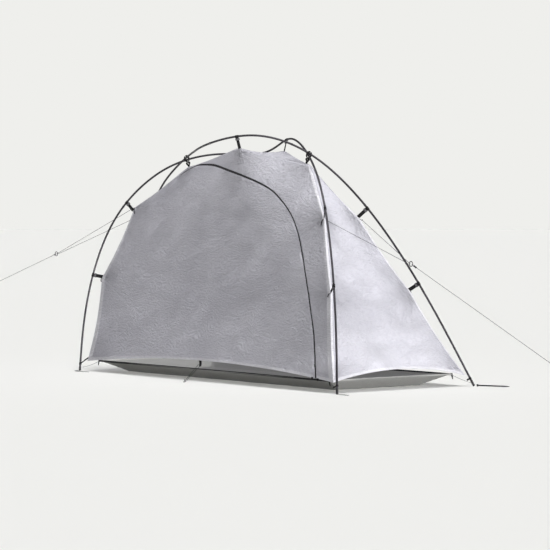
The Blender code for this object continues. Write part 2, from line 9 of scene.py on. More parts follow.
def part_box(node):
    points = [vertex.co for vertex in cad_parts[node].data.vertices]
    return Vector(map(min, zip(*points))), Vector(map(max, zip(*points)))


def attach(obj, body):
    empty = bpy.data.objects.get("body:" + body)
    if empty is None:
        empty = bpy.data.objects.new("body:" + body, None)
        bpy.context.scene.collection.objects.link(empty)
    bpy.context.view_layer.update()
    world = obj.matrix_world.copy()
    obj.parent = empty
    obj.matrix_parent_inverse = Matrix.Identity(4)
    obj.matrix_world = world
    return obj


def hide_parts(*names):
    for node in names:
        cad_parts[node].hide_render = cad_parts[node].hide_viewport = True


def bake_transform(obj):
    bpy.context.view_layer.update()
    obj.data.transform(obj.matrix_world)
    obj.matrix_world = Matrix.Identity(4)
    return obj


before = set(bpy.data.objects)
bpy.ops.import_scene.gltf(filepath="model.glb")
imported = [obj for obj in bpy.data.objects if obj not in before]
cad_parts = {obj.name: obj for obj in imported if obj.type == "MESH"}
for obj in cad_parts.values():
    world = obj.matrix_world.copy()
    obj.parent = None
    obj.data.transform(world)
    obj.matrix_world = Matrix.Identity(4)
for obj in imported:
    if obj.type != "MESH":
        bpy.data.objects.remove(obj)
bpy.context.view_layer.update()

# ---- sizes, in metres ------------------------------------------------------------------
FOOT_LENGTH = 2.26
FOOT_WIDTH = 0.903
POLE_HEIGHT = 1.30
POLE_RADIUS = 0.0055
COLLAR_RADIUS = 0.0062
COLLAR_LENGTH = 0.009
POLE_SECTIONS = 8
CROSSING_LIFT = 0.0145
CROSSING_SPREAD = 0.22
TIP_RADIUS = 0.0065
TIP_LENGTH = 0.026
STRAP_WIDTH = 0.018
STRAP_THICKNESS = 0.0014
STRAP_CLEARANCE = 0.0009
TIE_WIDTH = 0.008
HEM_ARCH = 0.055
END_HEM_ARCH = 0.05
HEM_WIDTH = 0.016
RIDGE_WIDTH = 0.034
CLOTH_THICKNESS = 0.0005
CORD_RADIUS = 0.0013
RING_RADIUS = 0.0125
RING_TUBE = 0.0022
BRIDLE_BEND = 0.0055
TUB_LENGTH, TUB_WIDTH, TUB_HEIGHT = 2.02, 0.80, 0.058
TUB_BASE_LENGTH, TUB_BASE_WIDTH = 1.80, 0.56

# ---- routes ----------------------------------------------------------------------------
# Pole a, from its right rear foot over both crossings to its left rear foot, as shares of
# half the foot length, half the foot width and the pole height. Pole b is its mirror image,
# except over the crown, where it lies a little lower and straighter.
POLE_ROUTE = [
    (1.000, 1.000, 0.000), (0.852, 0.723, 0.295), (0.694, 0.473, 0.550),
    (0.518, 0.236, 0.758), (0.304, 0.000, 0.912), (0.042, -0.309, 0.991),
    (-0.230, -0.468, 0.959), (-0.451, -0.254, 0.931), (-0.654, 0.000, 0.905),
    (-0.887, 0.123, 0.822), (-1.113, 0.283, 0.642), (-1.168, 0.577, 0.333),
    (-1.000, 1.000, 0.000),
]
CROWN_OF_B = [(0.041, -0.228, 0.981), (-0.229, -0.367, 0.926), (-0.484, -0.165, 0.925)]
CROSSINGS = {"right": POLE_ROUTE[4], "left": POLE_ROUTE[8]}
CURVE_SAMPLES = 1200

# Where straps hang from the pole, as shares of the pole height on a leg, and the run of the
# strap from the pole's axis inward and down to the wall.
LOWER_SHARE = {"right": 0.402, "left": 0.402}
UPPER_SHARE = {"right": 0.698, "left": 0.718}
LOWER_DROP = {"right": Vector((0.046, 0.018, 0.040)), "left": Vector((0.052, 0.026, 0.018))}
UPPER_DROP = {"right": Vector((0.033, 0.022, 0.055)), "left": Vector((0.052, 0.018, 0.029))}
CROWN_DROP = Vector((0.0, 0.018, 0.062))
CROWN_SHARE = {"front": -0.041, "rear": 0.008}      # of half the foot length
APEX_DROP = {"right": Vector((0.0, 0.0, 0.052)), "left": Vector((0.026, 0.0, 0.046))}
APEX_SPREAD = 0.006       # from the middle plane to each long wall's end of the ridge
CORNER_INSET = Vector((0.050, 0.018, 0.055))

ZIP_PATH = [(0.030, 0.955), (0.085, 0.982), (0.210, 0.984), (0.410, 0.953), (0.559, 0.914),
            (0.675, 0.885), (0.753, 0.863), (0.802, 0.836), (0.837, 0.796), (0.864, 0.748),
            (0.881, 0.690), (0.896, 0.584), (0.913, 0.387), (0.928, 0.255), (0.936, 0.000)]
HINGE_FOOT = (0.065, 0.0)
HINGE_HEAD = (0.030, 0.925)
WALL_SPAN = (2.15, 1.08)      # a long wall's rough width and height, to measure the zip in

RIGHT_RING = Vector((1.158, 0.0, 0.633))
RIGHT_LINE_END = Vector((2.197, 0.0, 0.171))
LEFT_RING = Vector((-2.053, 0.0, 0.626))
LEFT_LINE_END = Vector((-2.750, 0.0, 0.429))
FRONT_PEG = Vector((-0.017, -0.551, 0.003))
STAKEOUT_RISE = Vector((-0.017, 0.122, 0.085))

# ---- camera and light -------------------------------------------------------------------
CAMERA_PLACE = Vector((11.2995, -8.7534, 0.9865))
CAMERA_TURN = 52.10
CAMERA_TILT = 1.75
CAMERA_LENS = 175.85
BACKGROUND = "#EFEFEC"
FLOOR = "#F2F2EF"             # under these lamps it shows as the background's colour
OVERHEAD_STRENGTH = 1.95
SIDE_STRENGTH = 5.3
SOFTBOX_POWER = 14
SOFTBOX_SIZE = (2.6, 0.8)
SKY_LOW, SKY_HIGH = 0.03, 0.12


def linear(hexcode, alpha=1.0):
    """An sRGB hex colour as linear numbers."""
    values = []
    for i in (1, 3, 5):
        c = int(hexcode[i:i + 2], 16) / 255
        values.append(c / 12.92 if c <= 0.04045 else ((c + 0.055) / 1.055) ** 2.4)
    return (*values, alpha)


def set_camera():
    data = bpy.data.cameras.new("camera")
    data.lens = CAMERA_LENS
    data.clip_end = 200
    camera = bpy.data.objects.new("camera", data)
    camera.location = CAMERA_PLACE
    camera.rotation_euler = (math.radians(90 - CAMERA_TILT), 0, math.radians(CAMERA_TURN))
    bpy.context.scene.collection.objects.link(camera)
    bpy.context.scene.camera = camera
    bpy.context.scene.view_settings.view_transform = "Standard"


# ---- materials ------------------------------------------------------------------------------
def node(tree, kind, inputs=None, **settings):
    """Add one shader node with its settings, its socket values and its links."""
    made = tree.nodes.new(kind)
    for key, value in settings.items():
        setattr(made, key, value)
    for key, value in (inputs or {}).items():
        if isinstance(value, bpy.types.NodeSocket):
            tree.links.new(value, made.inputs[key])
        else:
            made.inputs[key].default_value = value
    return made


def ramp(tree, factor, stops):
    made = node(tree, "ShaderNodeValToRGB", {"Fac": factor})
    elements = made.color_ramp.elements
    while len(elements) < len(stops):
        elements.new(0.5)
    for element, (place, color) in zip(elements, stops):
        element.position = place
        element.color = linear(color)
    return made.outputs["Color"]


def new_material(name):
    material = bpy.data.materials.new(name)
    material.use_nodes = True
    tree = material.node_tree
    shader = tree.nodes["Principled BSDF"]
    coords = node(tree, "ShaderNodeTexCoord")
    return material, tree, shader, coords


def stretched(tree, source, scale):
    return node(tree, "ShaderNodeMapping", {"Vector": source, "Scale": scale}).outputs["Vector"]


def laminate(name, light, dark, glow):
    """Thin fibre laminate: a matt film whose glued fibres crease when it is handled. It shows
    shallow wrinkles some 12 mm apart, and fans of creases near each tie, and it lets a little
    light through."""
    material, tree, shader, coords = new_material(name)
    place = coords.outputs["Object"]
    blotch = node(tree, "ShaderNodeTexNoise", {"Vector": place, "Scale": 3.0, "Detail": 3.0})
    bend = node(tree, "ShaderNodeTexNoise", {"Vector": place, "Scale": 5.0, "Detail": 1.0})
    swirl = node(tree, "ShaderNodeVectorMath", {0: bend.outputs["Color"], 1: (0.10, 0.10, 0.16)},
                 operation="MULTIPLY")
    bent = node(tree, "ShaderNodeVectorMath", {0: place, 1: swirl.outputs[0]}, operation="ADD")
    streak = node(tree, "ShaderNodeTexNoise", {"Vector": stretched(tree, bent.outputs[0], (48, 48, 120)),
                                               "Scale": 1.0, "Detail": 6.0, "Roughness": 0.68})
    fan = node(tree, "ShaderNodeAttribute", attribute_name="fan")
    rays = node(tree, "ShaderNodeTexNoise", {"Vector": stretched(tree, fan.outputs["Vector"], (17, 2.5, 0)),
                                             "Scale": 1.0, "Detail": 3.0, "Roughness": 0.7})
    parts = node(tree, "ShaderNodeSeparateXYZ", {"Vector": fan.outputs["Vector"]})
    pulled = node(tree, "ShaderNodeMath", {0: rays.outputs["Fac"], 1: parts.outputs["Z"]},
                  operation="MULTIPLY")
    tone = node(tree, "ShaderNodeMath", {0: blotch.outputs["Fac"], 1: streak.outputs["Fac"]}, operation="ADD")
    half = node(tree, "ShaderNodeMath", {0: tone.outputs[0], 1: 0.5}, operation="MULTIPLY")
    shader.inputs["Roughness"].default_value = 0.48
    shader.inputs["Specular IOR Level"].default_value = 0.35
    color = ramp(tree, half.outputs[0], [(0.36, dark), (0.62, light)])
    tree.links.new(color, shader.inputs["Base Color"])
    fine = node(tree, "ShaderNodeBump", {"Height": streak.outputs["Fac"], "Strength": 1.0, "Distance": 0.016})
    drawn = node(tree, "ShaderNodeBump", {"Height": pulled.outputs[0], "Strength": 1.0, "Distance": 0.016,
                                          "Normal": fine.outputs["Normal"]})
    tree.links.new(drawn.outputs["Normal"], shader.inputs["Normal"])
    through = node(tree, "ShaderNodeBsdfTranslucent", {"Color": color, "Normal": fine.outputs["Normal"]})
    both = node(tree, "ShaderNodeMixShader", {"Fac": glow, 1: shader.outputs[0], 2: through.outputs[0]})
    tree.links.new(both.outputs[0], tree.nodes["Material Output"].inputs["Surface"])
    return material


def woven(name, light, dark, pitch, roughness=0.75):
    """Nylon tape or cord: a plain weave, drawn a little coarser than its real 1 mm threads."""
    material, tree, shader, coords = new_material(name)
    scale = 1.0 / pitch
    waves = []
    for direction in ("X", "Y", "Z"):
        wave = node(tree, "ShaderNodeTexWave", {"Vector": coords.outputs["Object"], "Scale": scale / 6.28,
                                                "Distortion": 0.4}, bands_direction=direction)
        waves.append(wave.outputs["Fac"])
    first = node(tree, "ShaderNodeMath", {0: waves[0], 1: waves[1]}, operation="ADD")
    total = node(tree, "ShaderNodeMath", {0: first.outputs[0], 1: waves[2]}, operation="ADD")
    third = node(tree, "ShaderNodeMath", {0: total.outputs[0], 1: 0.333}, operation="MULTIPLY")
    tree.links.new(ramp(tree, third.outputs[0], [(0.25, dark), (0.8, light)]), shader.inputs["Base Color"])
    bump = node(tree, "ShaderNodeBump", {"Height": third.outputs[0], "Strength": 0.6,
                                         "Distance": pitch * 0.4})
    tree.links.new(bump.outputs["Normal"], shader.inputs["Normal"])
    shader.inputs["Roughness"].default_value = roughness
    shader.inputs["Specular IOR Level"].default_value = 0.25
    return material


def anodised(name, light, dark):
    """Drawn 7000-series tube, anodised black: a satin skin with faint lengthwise draw marks
    and paler rubbed spots."""
    material, tree, shader, coords = new_material(name)
    marks = node(tree, "ShaderNodeTexNoise", {"Vector": coords.outputs["Object"], "Scale": 260.0,
                                              "Detail": 3.0})
    rubs = node(tree, "ShaderNodeTexNoise", {"Vector": coords.outputs["Object"], "Scale": 9.0, "Detail": 4.0})
    mixed = node(tree, "ShaderNodeMath", {0: marks.outputs["Fac"], 1: rubs.outputs["Fac"]},
                 operation="MULTIPLY")
    tree.links.new(ramp(tree, mixed.outputs[0], [(0.15, dark), (0.42, light)]), shader.inputs["Base Color"])
    shader.inputs["Metallic"].default_value = 0.55
    rough = node(tree, "ShaderNodeMapRange", {"Value": marks.outputs["Fac"], "To Min": 0.28, "To Max": 0.46})
    tree.links.new(rough.outputs["Result"], shader.inputs["Roughness"])
    bump = node(tree, "ShaderNodeBump", {"Height": marks.outputs["Fac"], "Strength": 0.1, "Distance": 0.0003})
    tree.links.new(bump.outputs["Normal"], shader.inputs["Normal"])
    return material


def moulded(name, light, dark):
    """Injection-moulded acetal: near-black, with a fine spark-eroded grain."""
    material, tree, shader, coords = new_material(name)
    grain = node(tree, "ShaderNodeTexNoise", {"Vector": coords.outputs["Object"], "Scale": 900.0,
                                              "Detail": 2.0})
    tree.links.new(ramp(tree, grain.outputs["Fac"], [(0.3, dark), (0.7, light)]), shader.inputs["Base Color"])
    bump = node(tree, "ShaderNodeBump", {"Height": grain.outputs["Fac"], "Strength": 0.2, "Distance": 0.0002})
    tree.links.new(bump.outputs["Normal"], shader.inputs["Normal"])
    shader.inputs["Roughness"].default_value = 0.45
    return material


LOOKS = {}


def make_looks():
    LOOKS["fly"] = laminate("crinkled_laminate", "#C8C7CE", "#B6B5BD", 0.22)
    LOOKS["binding"] = laminate("seam_tape", "#D4D3D8", "#C6C5CA", 0.15)
    # The floor cloth is a real sheet, but its mid-grey is painted shadow: its sides under the hem pass for the
    # ground's shadow.
    LOOKS["tub"] = woven("floor_cloth_painted_shadow_grey", "#8E8E8C", "#7C7C7A", 0.003, 0.75)
    LOOKS["edge"] = woven("black_edge_cord", "#1C1B1D", "#0E0E0F", 0.002)
    LOOKS["webbing"] = woven("black_webbing", "#19181A", "#09090A", 0.0016, 0.9)
    # The keeper's grey, lighter than the black straps, is partly painted highlight: it stands for the light the
    # straps catch near the pole.
    LOOKS["clip"] = moulded("clip_painted_highlight_grey", "#5A595C", "#444346")
    LOOKS["stitching"] = woven("grey_stitching", "#A9A8B2", "#86858F", 0.001)
    LOOKS["cord"] = woven("grey_guy_cord", "#7C7C7E", "#4E4E50", 0.0018)
    LOOKS["thread"] = woven("black_thread", "#38363A", "#1A191B", 0.001)
    LOOKS["pole"] = anodised("anodised_tube", "#4A474C", "#2A282C")
    LOOKS["stake"] = anodised("anodised_peg", "#3C3B3F", "#1C1B1E")
    LOOKS["plastic"] = moulded("black_acetal", "#2C2B2D", "#19181A")
    LOOKS["elastic"] = woven("braided_elastic", "#302F31", "#171618", 0.0012)


# ---- curves and the tent's geometry -----------------------------------------------------
def mix(a, b, share):
    return a + (b - a) * share


class Route:
    """A natural cubic spline through points, read by arc length."""

    def __init__(self, points):
        knots = np.array([tuple(p) for p in points], dtype=float)
        t = np.concatenate([[0.0], np.cumsum(np.linalg.norm(np.diff(knots, axis=0), axis=1))])
        h = np.diff(t)
        count = len(t)
        matrix = np.eye(count)
        right = np.zeros_like(knots)
        for i in range(1, count - 1):
            matrix[i, i - 1:i + 2] = (h[i - 1], 2 * (h[i - 1] + h[i]), h[i])
            right[i] = 6 * ((knots[i + 1] - knots[i]) / h[i] - (knots[i] - knots[i - 1]) / h[i - 1])
        bend = np.linalg.solve(matrix, right)
        fine = np.linspace(0.0, t[-1], CURVE_SAMPLES)
        i = np.clip(np.searchsorted(t, fine, side="right") - 1, 0, count - 2)
        a = ((t[i + 1] - fine) / h[i])[:, None]
        b = ((fine - t[i]) / h[i])[:, None]
        step = (h[i] ** 2 / 6)[:, None]
        self.points = (a * knots[i] + b * knots[i + 1]
                       + ((a ** 3 - a) * bend[i] + (b ** 3 - b) * bend[i + 1]) * step)
        self.measure()

    def measure(self):
        steps = np.linalg.norm(np.diff(self.points, axis=0), axis=1)
        self.lengths = np.concatenate([[0.0], np.cumsum(steps)])
        self.length = float(self.lengths[-1])

    def at(self, s):
        return Vector([float(np.interp(s, self.lengths, self.points[:, k])) for k in range(3)])

    def tangent(self, s):
        reach = self.length / CURVE_SAMPLES * 2
        return (self.at(min(self.length, s + reach)) - self.at(max(0.0, s - reach))).normalized()


def pole_point(share):
    return Vector((share[0] * FOOT_LENGTH / 2, share[1] * FOOT_WIDTH / 2, share[2] * POLE_HEIGHT))


def pole_route(mirror, lift):
    shares = POLE_ROUTE if mirror > 0 else POLE_ROUTE[:5] + CROWN_OF_B + POLE_ROUTE[8:]
    points = []
    for share in shares:
        point = pole_point(share)
        point.y *= mirror
        points.append(point)
    route = Route(points)
    for crossing in CROSSINGS.values():
        distance = route.points[:, 0] - pole_point(crossing).x
        high = route.points[:, 2] > POLE_HEIGHT / 2
        route.points[:, 2] += high * lift * np.exp(-(distance / CROSSING_SPREAD) ** 2)
    route.measure()
    return route


def leg_station(route, share, left):
    heights = route.points[:, 2]
    top = int(np.argmax(heights))
    if left:
        return float(np.interp(-share * POLE_HEIGHT, -heights[top:], route.lengths[top:]))
    return float(np.interp(share * POLE_HEIGHT, heights[:top], route.lengths[:top]))


def toward_middle(point, drop):
    return Vector((point.x - math.copysign(drop.x, point.x), point.y - math.copysign(drop.y, point.y),
                   point.z - drop.z))


def tie_points(routes):
    """Every place where the walls are tied: the pole's route, the arc length there, the wall's point."""
    ties = {}
    for side, y_name in ((1, "rear"), (-1, "front")):
        for left, x_name in ((False, "right"), (True, "left")):
            route = routes["a"] if side > 0 else routes["b"]
            for level, shares, drops in (("lower", LOWER_SHARE, LOWER_DROP),
                                         ("upper", UPPER_SHARE, UPPER_DROP)):
                s = leg_station(route, shares[x_name], left)
                target = toward_middle(route.at(s), drops[x_name])
                ties[f"{level}_{y_name}_{x_name}"] = (route, s, target)
            foot = route.at(route.length if left else 0.0)
            s = route.length - TIP_LENGTH * 1.8 if left else TIP_LENGTH * 1.8
            corner = toward_middle(foot, Vector((CORNER_INSET.x, CORNER_INSET.y, -CORNER_INSET.z)))
            ties[f"corner_{y_name}_{x_name}"] = (route, s, corner)
    for y_name, route, side in (("front", routes["a"], -1), ("rear", routes["b"], 1)):
        upper = route.points[:, 2] > POLE_HEIGHT / 2
        s = float(np.interp(-CROWN_SHARE[y_name] * FOOT_LENGTH / 2, -route.points[upper, 0],
                            route.lengths[upper]))
        point = route.at(s)
        ties[f"crown_{y_name}"] = (route, s, point + Vector((0, -side * CROWN_DROP.y, -CROWN_DROP.z)))
    return ties


def apex_point(side, y=0.0):
    crossing = pole_point(CROSSINGS[side])
    return Vector((crossing.x + APEX_DROP[side].x, y, crossing.z - APEX_DROP[side].z))


def edge_window(u, v, reach=0.035):
    """Falls to nothing at a wall's edges, so that neighbours meet along their seams."""
    return min(1.0, min(u, 1 - u, v, 1 - v) / reach)


def creases(point, ties, across):
    """Depth of the cloth's wrinkles: rays from each tie, and a fine crumple everywhere."""
    depth = 0.0
    drift = noise.noise(point * 4.3)
    for tie in ties:
        away = point - tie
        reach = away.length
        if reach < 0.75:
            angle = math.atan2(away.z, away[across])
            rays = 0.5 * math.sin(15 * angle + 2.1 * drift) + math.sin(37 * angle + 4.0 * drift + tie.x * 7)
            depth += 0.0011 * math.exp(-reach / 0.22) * min(1.0, reach / 0.06) * rays
    flat = Vector((point.x * 0.55, point.y * 0.55, point.z))
    for size, fineness in ((0.0022, 9), (0.0011, 27), (0.0008, 60)):
        depth += size * noise.noise(flat * fineness)
    return depth


class Wall:
    """A long side wall between its two end seams, lifted to the crown tie."""

    def __init__(self, ties, y_name):
        self.seams = {}
        self.side = -1 if y_name == "front" else 1
        self.outward = Vector((0, self.side, 0.40)).normalized()
        for x_name in ("left", "right"):
            corner, lower, upper = (ties[f"{k}_{y_name}_{x_name}"][2] for k in ("corner", "lower", "upper"))
            self.seams[x_name] = [corner, lower, upper, apex_point(x_name, self.side * APEX_SPREAD)]
        self.crown = ties[f"crown_{y_name}"][2]
        left, right = self.seams["left"][-1], self.seams["right"][-1]
        self.crown_share = (self.crown.x - left.x) / (right.x - left.x)
        self.crown_rise = self.crown - mix(left, right, self.crown_share)
        self.ties = self.seams["left"] + self.seams["right"] + [self.crown]
        self.sweeps = {}
        for x_name, points in self.seams.items():
            bend = Route([points[0]] + [mix(a, b, 0.5) for a, b in zip(points, points[1:])] + [points[-1]])
            self.sweeps[x_name] = bend.points

    def sweep(self, x_name, v):
        """The seam's line rounded off, as the cloth takes it a little way in from the ties."""
        points = self.sweeps[x_name]
        z = mix(points[0, 2], points[-1, 2], v)
        return Vector((float(np.interp(z, points[:, 2], points[:, 0])),
                       float(np.interp(z, points[:, 2], points[:, 1])), float(z)))

    def seam(self, x_name, v):
        points = self.seams[x_name]
        z = mix(points[0].z, points[-1].z, v)
        for low, high in zip(points, points[1:]):
            if z <= high.z + 1e-9:
                share = (z - low.z) / (high.z - low.z)
                point = mix(low, high, share)
                inward = 1 if x_name == "left" else -1
                sag = (high - low).length * 0.028 * 4 * share * (1 - share)
                return point + Vector((inward * sag, -self.side * sag * 0.35, 0))
        return points[-1].copy()

    def at(self, u, v):
        left, right = self.sweep("left", v), self.sweep("right", v)
        point = mix(left, right, u)
        point += (self.seam("left", v) - left) * math.exp(-((u / 0.07) ** 1.5))
        point += (self.seam("right", v) - right) * math.exp(-(((1 - u) / 0.07) ** 1.5))
        away = (u - self.crown_share) / (self.crown_share if u < self.crown_share else 1 - self.crown_share)
        round_off = 0.03 + 1.2 * (1 - v)
        hat = 1 - (math.hypot(away, round_off) - round_off) / (math.hypot(1, round_off) - round_off)
        point = point + self.crown_rise * (hat ** 1.15 * v ** 3)
        point.z += HEM_ARCH * 4 * u * (1 - u) * (1 - v) ** 6
        belly = 0.016 * math.sin(math.pi * u) * math.sin(math.pi * v)
        return point - self.outward * belly

    def cloth(self, u, v, lift=0.0):
        point = self.at(u, v)
        return point + self.outward * (creases(point, self.ties, 0) * edge_window(u, v) + lift)


class EndWall:
    """A narrow end wall, between the end seams of the two long walls."""

    def __init__(self, front, rear, u):
        self.front, self.rear, self.u = front, rear, u
        self.outward = Vector((1 if u > 0.5 else -1, 0, 0.45)).normalized()
        x_name = "right" if u > 0.5 else "left"
        self.ties = front.seams[x_name] + rear.seams[x_name]

    def cloth(self, share, v, lift=0.0):
        near, far = self.front.at(self.u, v), self.rear.at(self.u, v)
        x_name = "right" if self.u > 0.5 else "left"
        near_in, far_in = self.front.sweep(x_name, v), self.rear.sweep(x_name, v)
        point = mix(near_in, far_in, share) + (near - near_in) * math.exp(-((share / 0.09) ** 1.5))
        point += (far - far_in) * math.exp(-(((1 - share) / 0.09) ** 1.5))
        point.z += END_HEM_ARCH * 4 * share * (1 - share) * (1 - v) ** 6
        hollow = 0.085 * (far - near).length * 4 * share * (1 - share) * math.sin(math.pi * min(1, v * 1.04))
        depth = creases(point, self.ties, 1) * edge_window(share, v) * min(1.0, (far - near).length / 0.3)
        return point + self.outward * (depth + lift - hollow * 0.35)


class Roof:
    """The small lens-shaped panel between the two crown ties."""

    def __init__(self, front, rear):
        self.front, self.rear = front, rear
        self.outward = Vector((0, 0, 1))
        self.ties = [front.crown, rear.crown, front.seams["left"][-1], front.seams["right"][-1]]

    def cloth(self, u, share, lift=0.0):
        near, far = self.front.at(u, 1.0), self.rear.at(u, 1.0)
        point = mix(near, far, share)
        sag = 0.012 * math.sin(math.pi * share) * math.sin(math.pi * u)
        depth = creases(point, self.ties, 1) * edge_window(u, share, 0.08)
        depth *= min(1, (far - near).length / 0.15)
        return point + self.outward * (lift - sag + depth * 0.6)


# ---- making pieces --------------------------------------------------------------------------
PIECES = {}


def add_piece(name, data, look, body, replaced=(), smooth_angle=None):
    obj = bpy.data.objects.new(name, data)
    bpy.context.scene.collection.objects.link(obj)
    obj.data.materials.append(LOOKS[look])
    if smooth_angle is not None:
        data.shade_smooth()
        data.set_sharp_from_angle(angle=math.radians(smooth_angle))
    if body is not None:
        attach(obj, body)
    if replaced:
        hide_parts(*replaced)
    PIECES[name] = obj
    return obj


def add_fan(mesh, ties, across):
    """Note at each point how it lies from its nearest tie: the angle, the distance and the pull.
    The pull falls to nothing half way to the next tie, and the angle is zero toward the middle."""
    values = []
    middle = sum((v.co for v in mesh.vertices), Vector()) / len(mesh.vertices)
    for vert in mesh.vertices:
        tie, second = sorted(ties, key=lambda t: (t - vert.co).length_squared)[:2]
        away, inward = vert.co - tie, middle - tie
        reach = away.length
        angle = math.atan2(away.z, away[across]) - math.atan2(inward.z, inward[across])
        pull = math.exp(-reach / 0.20) * min(1.0, reach / 0.03, ((vert.co - second).length - reach) / 0.12)
        values += [(angle + math.pi) % (2 * math.pi) - math.pi, reach, pull]
    mesh.attributes.new("fan", "FLOAT_VECTOR", "POINT").data.foreach_set("vector", values)


def lay(name, columns, rows, place, look, body, outward=None, replaced=(), thickness=CLOTH_THICKNESS,
        keep=None, snap=None, fan=None):
    """Map a flat grid through place(a, b), cut it to keep(a, b), and give it the cloth's thickness."""
    bm = bmesh.new()
    bmesh.ops.create_grid(bm, x_segments=columns, y_segments=rows, size=0.5)
    bmesh.ops.translate(bm, verts=bm.verts, vec=(0.5, 0.5, 0))
    if keep:
        spare = [f for f in bm.faces if not keep(*f.calc_center_median().xy)]
        bmesh.ops.delete(bm, geom=spare, context="FACES")
        for vert in bm.verts:
            a, b = vert.co.xy
            if vert.is_boundary and 1e-4 < a < 1 - 1e-4 and 1e-4 < b < 1 - 1e-4:
                vert.co.xy = snap(a, b)
    for vert in bm.verts:
        vert.co = place(vert.co.x, vert.co.y)
    if outward is not None:
        bm.normal_update()
        facing = sum((f.normal * f.calc_area() for f in bm.faces), Vector())
        if facing.dot(outward) < 0:
            bmesh.ops.reverse_faces(bm, faces=bm.faces)
    bmesh.ops.solidify(bm, geom=bm.faces[:], thickness=thickness)
    bmesh.ops.recalc_face_normals(bm, faces=bm.faces)
    mesh = bpy.data.meshes.new(name)
    bm.to_mesh(mesh)
    bm.free()
    if fan is not None:
        add_fan(mesh, *fan)
    return add_piece(name, mesh, look, body, replaced, 50)


def rod(name, points, radii, look, body, replaced=(), sides=4, as_mesh=True, cyclic=False):
    """A round bar along points, its radius given at each, made with a bevelled curve."""
    curve = bpy.data.curves.new(name, "CURVE")
    curve.dimensions = "3D"
    curve.bevel_depth = 1.0
    curve.bevel_resolution = sides
    curve.use_fill_caps = True
    spline = curve.splines.new("POLY")
    spline.points.add(len(points) - 1)
    spline.use_cyclic_u = cyclic
    for target, point, radius in zip(spline.points, points, radii):
        target.co = (*point, 1.0)
        target.radius = radius
    if not as_mesh:
        curve.bevel_depth = radii[0]
        for target in spline.points:
            target.radius = 1.0
        return add_piece(name, curve, look, body, replaced)
    scratch = bpy.data.objects.new("scratch", curve)
    bpy.context.scene.collection.objects.link(scratch)
    graph = bpy.context.evaluated_depsgraph_get()
    mesh = bpy.data.meshes.new_from_object(scratch.evaluated_get(graph))
    bpy.data.objects.remove(scratch)
    bpy.data.curves.remove(curve)
    mesh.materials.clear()
    bm = bmesh.new()
    bm.from_mesh(mesh)
    bmesh.ops.remove_doubles(bm, verts=bm.verts, dist=1e-6)
    bmesh.ops.recalc_face_normals(bm, faces=bm.faces)
    bm.to_mesh(mesh)
    bm.free()
    mesh.name = name
    return add_piece(name, mesh, look, body, replaced, 40)


# ---- poles --------------------------------------------------------------------------------------
def make_poles(routes):
    pitch = (routes["a"].length - 2 * TIP_LENGTH) / POLE_SECTIONS
    for letter, route in routes.items():
        for i in range(POLE_SECTIONS):
            low = TIP_LENGTH + i * pitch
            high = min(low + pitch - 0.0006, route.length - TIP_LENGTH)
            steps = [(low, 0.0), (low + 0.0006, 1.0), (low + COLLAR_LENGTH, 1.0),
                     (low + COLLAR_LENGTH + 0.001, 0.5)]
            count = 22
            middle = [(mix(low + 0.012, high - 0.004, k / count), 0.5) for k in range(count + 1)]
            steps += middle + [(high - 0.001, 0.5), (high, 0.3)]
            size_at = {0.0: POLE_RADIUS * 0.9, 0.3: POLE_RADIUS * 0.96, 0.5: POLE_RADIUS, 1.0: COLLAR_RADIUS}
            radii = [size_at[k] for _, k in steps]
            rod(f"pole_{letter}_tube_{i + 1}", [route.at(s) for s, _ in steps], radii, "pole", "tent",
                [f"pole_{letter}_section_{i + 1}"], sides=6)
        for x_name, base, sign in (("right", 0.0, 1), ("left", route.length, -1)):
            shape = [(0.002, 0.0048), (0.003, 0.0062), (0.006, TIP_RADIUS), (0.012, TIP_RADIUS), (0.0125, 0.0057),
                     (0.0145, 0.0057), (0.015, TIP_RADIUS), (0.023, TIP_RADIUS), (TIP_LENGTH, 0.0060)]
            rod(f"pole_{letter}_foot_{x_name}", [route.at(base + sign * s) for s, _ in shape],
                [r for _, r in shape], "plastic", "tent", [f"pole_{letter}_tip_{x_name}"], sides=6)
        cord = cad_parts[f"pole_{letter}_shock_cord"]
        cord.data.materials.clear()
        cord.data.materials.append(LOOKS["elastic"])


# ---- straps --------------------------------------------------------------------------------------
def make_strap(name, centre, along, target, width, half_across, half_deep, spread=0.0, body="tent"):
    """Webbing folded round a pole; its two legs run down to the wall, spread apart by a share
    of the loop's width, and are stitched together at the end."""
    down = target - centre
    down = (down - along * down.dot(along)).normalized()
    across = along.cross(down).normalized()
    reach = (target - centre).dot(down)
    gap = 0.0005
    turn = math.asin(min(0.9, (gap + STRAP_THICKNESS) / half_across))
    bow = []
    for i in range(25):
        angle = turn + (2 * math.pi - 2 * turn) * i / 24
        bow.append(((half_across + 0.0007) * math.sin(angle), (half_deep + 0.0007) * math.cos(angle)))
    apart = gap + spread * half_across
    leg = [(gap, reach + 0.004), (mix(gap, apart, 0.3), mix(half_deep, reach, 0.7)), (apart, half_deep + 0.005)]
    flat = leg + bow + [(-x, y) for x, y in reversed(leg)]
    route = Route([Vector((x, y, 0)) for x, y in flat])

    def place(a, b):
        point = route.at(a * route.length)
        return centre + across * point.x + down * point.y + along * ((b - 0.5) * width)

    lay(f"{name}_webbing", 72, 4, place, "webbing", body, None, [name], STRAP_THICKNESS * 0.8)
    if width > 0.01 and half_across < 0.01:
        make_clip(f"{name}_clip", centre + down * (half_deep + 0.009), across, down, along, width)
    steps = 3 if width > 0.01 else 1
    for i in range(steps):
        level = mix(half_deep + 0.009, reach - 0.004, (i + 0.5) / steps)
        points = []
        for k in range(9):
            side = across * (STRAP_THICKNESS * 1.5 + 0.0003 * math.sin(k * math.pi))
            wave = 0.0012 * (-1) ** k
            points.append(centre + down * (level + wave) + side + along * (width * 0.84 * (k / 8 - 0.5)))
        rod(f"{name}_bartack_{i + 1}", points, [0.0004] * 9, "thread", body, sides=1)


